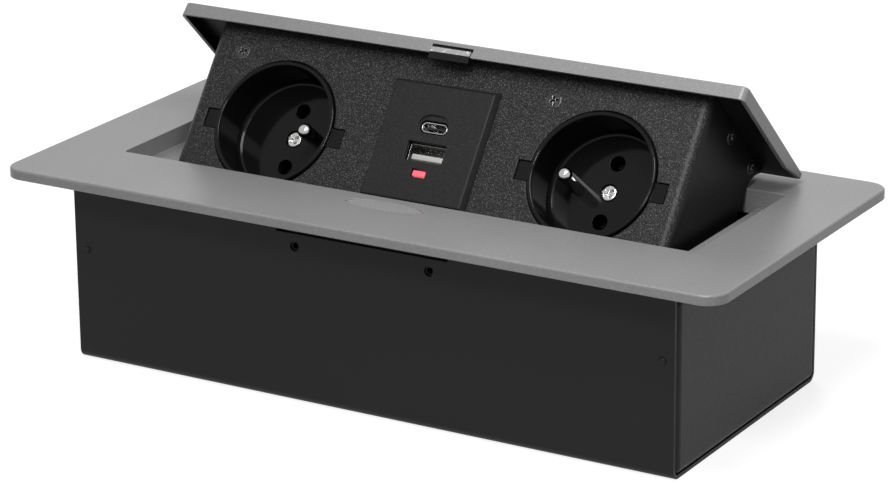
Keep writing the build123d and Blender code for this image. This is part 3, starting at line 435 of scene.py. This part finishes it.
# painted shade darkens the strike everywhere except a bare mottled band on its front face
strike_steel = finish("strike_steel_painted_shade", (0.26, 0.26, 0.265, 1), 0.46, specular=0.12,
                      grain=700.0, share=0.46, bump=0.5, distance=0.00015, fleck=0.8,
                      fleck_colour=(0.66, 0.66, 0.66, 1), edge=0.0002, rough_change=0.10)
strike_half, strike_face, unshaded_low, unshaded_high = 10.0, 0.46, 0.1, 1.75
far_front, far_low, far_high = lid_front - 5, rim_edge - 5, lid_under + 1
# painted shade, near black, behind its front face, on the lip below the bare band and in the slot's
# gap above it
for front, low, high in ((lid_front - strike_face, far_low, far_high),
                         (far_front, far_low, rim_edge + unshaded_low),
                         (far_front, rim_edge + unshaded_high, far_high)):
    cover_region(strike_steel, strike_half, front, low, high, (0.006, 0.006, 0.006, 1))
wear_finish(strike_steel, "strike_tab")


# Brackets and cover: pressed steel sheet in black paint. The brackets join the lid to the panel's
# side flanges and reach back as the hinge arms, and the cover closes off the sockets' backs.
dark_coat = finish("dark_coat", (0.010, 0.010, 0.0105, 1), 0.55, specular=0.2, grain=1300.0,
                   bump=0.12, edge=0.0003)
wear_finish(dark_coat, "lid_bracket_left", "lid_bracket_right", "insert_cover")


# Socket panel: one folded sheet, in a sand-textured black powder coat that glitters slightly, with
# painted highlights on its edges and painted shade that makes the side flanges plain and darker.
# Four countersunk cross screws hold the sockets and four more hold the brackets.
# painted highlights: the panel's edges are lightened from near black to 0.05
panel_coat = finish("panel_sand_coat", (0.006, 0.006, 0.0065, 1), 0.42, specular=0.18, grain=2700.0,
                    share=0.49, bump=0.9, distance=0.00014, fleck=1.0,
                    fleck_colour=(0.135, 0.135, 0.135, 1), edge=0.0006, painted_edge_light=0.35,
                    painted_edge_colour=(0.05, 0.05, 0.05, 1), rough_change=0.08)
fold_end, flange_face = 0.0862, 0.0870
coat = panel_coat.node_tree
coat_place = node(coat, "ShaderNodeTexCoord")
coat_parts = node(coat, "ShaderNodeSeparateXYZ", [(0, coat_place.outputs["Object"])])
aside = node(coat, "ShaderNodeMath", [(0, coat_parts.outputs["X"])], operation="ABSOLUTE")
flank_painted_shade = node(coat, "ShaderNodeMapRange",
             [("Value", aside.outputs[0]), ("From Min", fold_end), ("From Max", flange_face),
              ("To Min", 0.0), ("To Max", 1.0)])
# painted shade: the side flanges lose their flecks and are coloured a shade darker
cover_colour(panel_coat, flank_painted_shade.outputs["Result"], (0.005, 0.005, 0.0055, 1))
wear_finish(panel_coat, "insert_panel")
lean = math.radians(36.78)
face_up = np.array([0, math.sin(lean), math.cos(lean)])
face_out = np.array([0, -math.cos(lean), math.sin(lean)])
face_top = np.array([0, 0.009676, 0.096336])


def on_face(x, v, proud=0.0):
    """Point by the panel's face in millimetres: x along it, v up from its top edge, and proud."""
    return face_top + (np.array([x, 0, 0]) + v * face_up + proud * face_out) / 1000


def turned_on_face(rings, x, v, proud, turn):
    """Skin of rings that stand on the panel's face at x, v, turned about its normal by an angle."""
    along = np.array([1, 0, 0])
    return skin(placed(rings, on_face(x, v, proud),
                       math.cos(turn) * along + math.sin(turn) * face_up,
                       -math.sin(turn) * along + math.cos(turn) * face_up))


face_form = cross_screw(2.30, 1.55, 0.42, 1.3, 0.12,
                        [(2.30, -0.12), (1.35, -1.1), (1.35, -6.7), (1.0, -7.0)])
face_sunk = 0.18
face_screws = [(-76.2, -6.6, 0.5), (-36.2, -48.4, 0.9), (36.2, -6.6, 0.35), (76.2, -48.4, 1.2)]
piece("face_screw_heads",
      [turned_on_face(face_form, x, v, -face_sunk, turn) for x, v, turn in face_screws],
      black_screw, "insert", ["face_screws"])
side_form = cross_screw(2.28, 1.35, 0.34, 1.2, 0.15,
                        [(2.20, -0.12), (1.25, -1.1), (1.25, -2.5), (1.1, -2.65)])
side_x, side_high = 87.15, 16.8
side_spots = [(sign, hinge_axis
               + (np.array([sign * side_x, 0, 0]) + y * lid_back + side_high * lid_out) / 1000)
              for sign in (-1, 1) for y in (-42.0, -22.6)]
piece("side_screw_heads",
      [skin(placed(side_form, spot, (0, sign * 0.8, 0.6), (0, -sign * 0.6, 0.8)))
       for sign, spot in side_spots],
      black_screw, "insert", ["side_screws"])


# Sockets: glossy black mouldings with a rounded lip and a cove round the recess floor, each with a
# nickel-plated earth pin and a cross screw sunk into its floor.
def turned_rings(profile):
    """Rings of a body turned about Z from (radius, height) pairs."""
    return gland_rings([(radius, height, 0) for radius, height in profile], 1, 0.0, around=96)


gloss_black = finish("gloss_black", (0.004, 0.004, 0.0045, 1), 0.11, specular=0.13, grain=400.0,
                     bump=0.02, distance=0.0001, edge=0.0003, rough_change=0.03)
wear_finish(gloss_black, "socket_body_left", "socket_body_right")
wear_finish(black_moulding, "socket_back_left", "socket_back_right")
# painted shade: the contacts deep in the pin holes are bronze darkened to near black
bronze_painted_shade = finish("bronze_painted_shade", (0.016, 0.013, 0.009, 1), 0.60, metallic=0.5, specular=0.1,
                     grain=800.0, bump=0.05, edge=0.0002)
wear_finish(bronze_painted_shade, "socket_contacts_left", "socket_contacts_right")
wear_finish(nickel, "earth_pin_left", "earth_pin_right")
cup_wall, cup_floor, bend, bite = 19.3, -13.6, 1.1, 0.05
bow = np.linspace(0, math.pi / 2, 9)
arc = np.stack([cup_wall - bend + bend * np.cos(bow), cup_floor + bend - bend * np.sin(bow)], -1)
cove_profile = [(cup_wall + bite, cup_floor - bite), (cup_wall + bite, cup_floor + bend), *arc,
                (cup_wall - bend, cup_floor - bite)]
socket_x, socket_v = 56.2, -28.4
for side, x in (("left", -socket_x), ("right", socket_x)):
    cove = placed(turned_rings(cove_profile), on_face(x, socket_v), (1, 0, 0), face_up)
    piece(f"recess_cove_{side}", [skin(cove, loop=True)], gloss_black, "insert")
bright_screw = finish("bright_screw", (0.50, 0.50, 0.49, 1), 0.20, metallic=1.0, grain=900.0,
                      bump=0.10, edge=0.0002, rough_change=0.10)
centre_form = cross_screw(2.35, 1.65, 0.48, 1.0, 0.3,
                          [(2.33, -0.35), (2.2, -0.85), (1.35, -0.9), (1.35, -9.8)])
centre_sunk, centre_turn = 13.7, math.atan2(0.6, 0.8)
piece("centre_screw_heads",
      [turned_on_face(centre_form, x, socket_v, -centre_sunk, centre_turn)
       for x in (-socket_x, socket_x)],
      bright_screw, "insert", ["centre_screws"])


# USB module: a satin black plate with bevelled edges, a shallow oval well round the small port, two
# shielded ports and a red light pipe, on a board in a hollow housing behind the panel.
def outline(width, height, radius):
    """Rounded rectangle about the origin: four arcs of ten points round the corners' centres."""
    bend = np.linspace(0, math.pi / 2, 10)
    signs = np.array([(1, 1), (-1, 1), (-1, -1), (1, -1)], float)
    middle = signs * np.array([width / 2 - radius, height / 2 - radius])
    angle = bend + np.arange(4)[:, None] * math.pi / 2
    return (middle[:, None] + radius * np.stack([np.cos(angle), np.sin(angle)], -1)).reshape(-1, 2)


def layers(width, height, radius, steps, x=0.0, v=0.0):
    """Rings of a moulded block at x, v on the panel's face, from (inset, height) pairs.

    Each ring is the block's rounded outline drawn in by the inset, at that height off the face.
    """
    rings = []
    for inset, level in steps:
        flat = outline(width - 2 * inset, height - 2 * inset, max(radius - inset, 0.05)) + (x, v)
        rings.append(np.concatenate([flat, np.full((len(flat), 1), level)], -1))
    return np.stack(rings)


def face_skin(rings):
    """Closed skin of rings whose own axes are the panel's face."""
    return skin(placed(rings, on_face(0, 0), (1, 0, 0), face_up))


def cut_from(whole, rings):
    """Cuts the closed solid of rings on the panel's face from a mesh object."""
    points, quads, tris = face_skin(rings)
    mesh = bpy.data.meshes.new("tool")
    mesh.from_pydata(points.tolist(), [], quads.tolist() + tris.tolist())
    tool = bpy.data.objects.new("tool", mesh)
    bpy.context.scene.collection.objects.link(tool)
    change = whole.modifiers.new("cut", "BOOLEAN")
    change.object, change.operation, change.solver = tool, "DIFFERENCE", "EXACT"
    bpy.context.view_layer.update()
    graph = bpy.context.evaluated_depsgraph_get()
    done = bpy.data.meshes.new_from_object(whole.evaluated_get(graph))
    whole.modifiers.clear()
    whole.data = done
    bpy.data.objects.remove(tool)


# painted highlights: the plate's edges are lightened from near black to 0.05
usb_black = finish("usb_satin_black", (0.009, 0.009, 0.0095, 1), 0.40, specular=0.17, grain=3200.0,
                   share=0.50, bump=0.5, distance=0.00008, fleck=0.7,
                   fleck_colour=(0.05, 0.05, 0.05, 1), edge=0.0003, painted_edge_light=0.2,
                   painted_edge_colour=(0.05, 0.05, 0.05, 1))
plate_middle, small_v, wide_v, light_v = -27.3, -21.8, -30.2, -37.0
plate_form = layers(37.2, 40.0, 0.6, [(0, 0), (0.1, 0.3), (1.3, 1.9), (1.7, 2.0), (2.0, 2.0)],
                    v=plate_middle)
plate = piece("usb_cover_plate", [face_skin(plate_form)], usb_black, "insert",
              ["usb_plate"])
well_floor, through, clear = 1.3, -1.0, 4.0
for wide, high, radius, v, bottom in ((10.8, 7.8, 3.89, small_v, well_floor),
                                      (9.9, 4.3, 2.14, small_v, through),
                                      (13.6, 6.3, 0.3, wide_v, through),
                                      (5.2, 2.7, 0.2, light_v, through)):
    cut_from(plate, layers(wide, high, radius, [(0, bottom), (0, clear)], v=v))
plate.data.shade_smooth()
plate.data.set_sharp_from_angle(angle=math.radians(32))
shell = finish("port_shell", (0.30, 0.30, 0.295, 1), 0.28, metallic=1.0, grain=900.0, bump=0.04,
               edge=0.0001, rough_change=0.05)
small_shell = layers(9.0, 3.4, 1.69, [(0, -10.9), (0, 0.75), (0.12, 0.9), (0.28, 0.9),
                                      (0.4, 0.75), (0.4, -5.0)], v=small_v)
piece("small_port_shell", [face_skin(small_shell)], bright_screw, "insert",
      ["usb_c_shell"])
small_tongue = layers(6.6, 0.7, 0.3, [(0, -5.3), (0, 0.05), (0.12, 0.2)], v=small_v)
piece("small_port_tongue", [face_skin(small_tongue)], black_moulding, "insert",
      ["usb_c_tongue"])
wide_shell = layers(13.1, 5.9, 0.5, [(0, -10.9), (0, -0.1), (0.08, 0.0), (0.24, 0.0),
                                     (0.3, -0.1), (0.3, -9.3)], v=wide_v)
piece("wide_port_shell", [face_skin(wide_shell)], shell, "insert", ["usb_a_shell"])
tongue_drop, strip_drop = 1.0, 0.06
wide_tongue = layers(11.1, 1.8, 0.35, [(0, -9.4), (0, -0.75), (0.15, -0.55), (0.35, -0.5)],
                     v=wide_v - tongue_drop)
piece("wide_port_tongue", [face_skin(wide_tongue)], white_moulding, "insert",
      ["usb_a_tongue"])
piece("wide_port_contacts",
      [face_skin(layers(1.0, 0.16, 0.05, [(0, -9.0), (0, -1.3), (0.03, -1.2)], x=x,
                        v=wide_v - strip_drop)) for x in (-3.5, -1.15, 1.15, 3.5)],
      zinc, "insert")
# painted shade: the light pipe's rounded edges are darkened to deep red
red_light = finish("red_light", (0.70, 0.04, 0.07, 1), 0.25, grain=600.0, bump=0.02, edge=0.0006,
                   painted_edge_light=1.0, painted_edge_colour=(0.12, 0.0, 0.01, 1))
lit = red_light.node_tree.nodes["Principled BSDF"]
lit.inputs["Emission Color"].default_value = (1.0, 0.17, 0.22, 1)
lit.inputs["Emission Strength"].default_value = 0.75
light_form = layers(4.3, 1.8, 0.3, [(0, -11.0), (0, 1.5), (0.2, 1.7)], v=light_v)
piece("light_pipe", [face_skin(light_form)], red_light, "insert", ["led_pipe"])
wear_finish(black_moulding, "usb_housing", "usb_transformer")
wear_finish(zinc, "usb_capacitor")
board_green = finish("board_green", (0.02, 0.11, 0.05, 1), 0.3, grain=500.0, bump=0.02,
                     edge=0.0002)
wear_finish(board_green, "usb_board")


# Studio: a pale floor that shows white to the camera and keeps a faint shadow, soft lamps in
# front, overhead and behind, and the camera at the photograph's angle.
def backdrop_rays(tree):
    """1 for rays from the camera, off mirrors and through glass, which see the backdrop, else 0."""
    path = node(tree, "ShaderNodeLightPath")
    direct = node(tree, "ShaderNodeMath",
                  [(0, path.outputs["Is Camera Ray"]), (1, path.outputs["Is Glossy Ray"])],
                  operation="MAXIMUM")
    return node(tree, "ShaderNodeMath",
                [(0, direct.outputs[0]), (1, path.outputs["Is Transmission Ray"])],
                operation="MAXIMUM").outputs[0]


def stood(axes, place):
    """World matrix of an object whose own x, y and z lie along the rows of axes, at place."""
    matrix = np.eye(4)
    matrix[:3, :3] = np.array(axes).T
    matrix[:3, 3] = place
    return Matrix(matrix.tolist())


def soft_box(name, place, aim, size, power, glossy=True):
    """Area lamp at place that faces aim, with its size in metres and its power in watts.

    Where glossy is off, surfaces are lit by the lamp and don't mirror it.
    """
    lamp = bpy.data.lights.new(name, "AREA")
    lamp.shape = "RECTANGLE"
    lamp.size, lamp.size_y = size
    lamp.energy = power
    holder = bpy.data.objects.new(name, lamp)
    bpy.context.scene.collection.objects.link(holder)
    holder.visible_glossy = glossy
    away = np.array(place, float) - np.array(aim, float)
    away /= np.linalg.norm(away)
    beside = np.cross([0, 0, 1], away)
    beside /= np.linalg.norm(beside)
    holder.matrix_world = stood([beside, np.cross(away, beside), away], place)


world = bpy.data.worlds.new("studio")
bpy.context.scene.world = world
world.use_nodes = True
sky = world.node_tree
sky.nodes.clear()
room_light, backdrop_light = 0.25, 1.0
dim = node(sky, "ShaderNodeBackground", [("Color", (1, 1, 1, 1)), ("Strength", room_light)])
white = node(sky, "ShaderNodeBackground", [("Color", (1, 1, 1, 1)), ("Strength", backdrop_light)])
shown = node(sky, "ShaderNodeMixShader",
             [(0, backdrop_rays(sky)), (1, dim.outputs[0]), (2, white.outputs[0])])
node(sky, "ShaderNodeOutputWorld", [("Surface", shown.outputs[0])])

floor_half = 3.0
floor_mesh = bpy.data.meshes.new("floor")
floor_mesh.from_pydata([(-floor_half, -floor_half, 0), (floor_half, -floor_half, 0),
                        (floor_half, floor_half, 0), (-floor_half, floor_half, 0)],
                       [], [(0, 1, 2, 3)])
floor = bpy.data.objects.new("floor", floor_mesh)
bpy.context.scene.collection.objects.link(floor)
pale = bpy.data.materials.new("pale_floor")
pale.use_nodes = True
ground = pale.node_tree
ground.nodes.clear()
paper_tone, shade_tone, glow_light = 0.45, 0.30, 0.82
paper = node(ground, "ShaderNodeBsdfDiffuse", [("Color", (paper_tone,) * 3 + (1,))])
shade = node(ground, "ShaderNodeBsdfDiffuse", [("Color", (shade_tone,) * 3 + (1,))])
glow = node(ground, "ShaderNodeEmission", [("Color", (1, 1, 1, 1)), ("Strength", glow_light)])
bright = node(ground, "ShaderNodeAddShader", [(0, shade.outputs[0]), (1, glow.outputs[0])])
laid = node(ground, "ShaderNodeMixShader",
            [(0, backdrop_rays(ground)), (1, paper.outputs[0]), (2, bright.outputs[0])])
node(ground, "ShaderNodeOutputMaterial", [("Surface", laid.outputs[0])])
floor_mesh.materials.append(pale)

soft_box("key", (0.28, -1.0, 1.05), (0.03, 0, 0.08), (0.30, 0.26), 8.8)
soft_box("near", (0.12, -0.13, 0.37), (0.10, 0.0, 0.08), (0.14, 0.14), 1.05)
soft_box("rear", (-0.45, 0.75, 0.80), (0, 0, 0.08), (0.4, 0.3), 4.5, glossy=False)

azimuth, elevation, roll = math.radians(30.785), math.radians(18.807), math.radians(-0.547)
focal_px, image_width = 3670.6, 890.0
shift_m = (-0.00097, 0.01738, -1.12831)
underside = 0.060
back = np.array([math.sin(azimuth) * math.cos(elevation),
                 -math.cos(azimuth) * math.cos(elevation), math.sin(elevation)])
right = np.cross([0, 0, 1], back)
right /= np.linalg.norm(right)
above = np.cross(back, right)
axes = np.array([math.cos(roll) * right + math.sin(roll) * above,
                 math.cos(roll) * above - math.sin(roll) * right, back])
camera_data = bpy.data.cameras.new("camera")
camera_data.sensor_width = 36.0
camera_data.lens = focal_px / image_width * camera_data.sensor_width
camera_data.clip_start, camera_data.clip_end = 0.05, 20.0
camera = bpy.data.objects.new("camera", camera_data)
bpy.context.scene.collection.objects.link(camera)
camera.matrix_world = stood(axes, -axes.T @ np.array(shift_m) + np.array([0, 0, underside]))
bpy.context.scene.camera = camera
bpy.context.scene.view_settings.view_transform = "Standard"
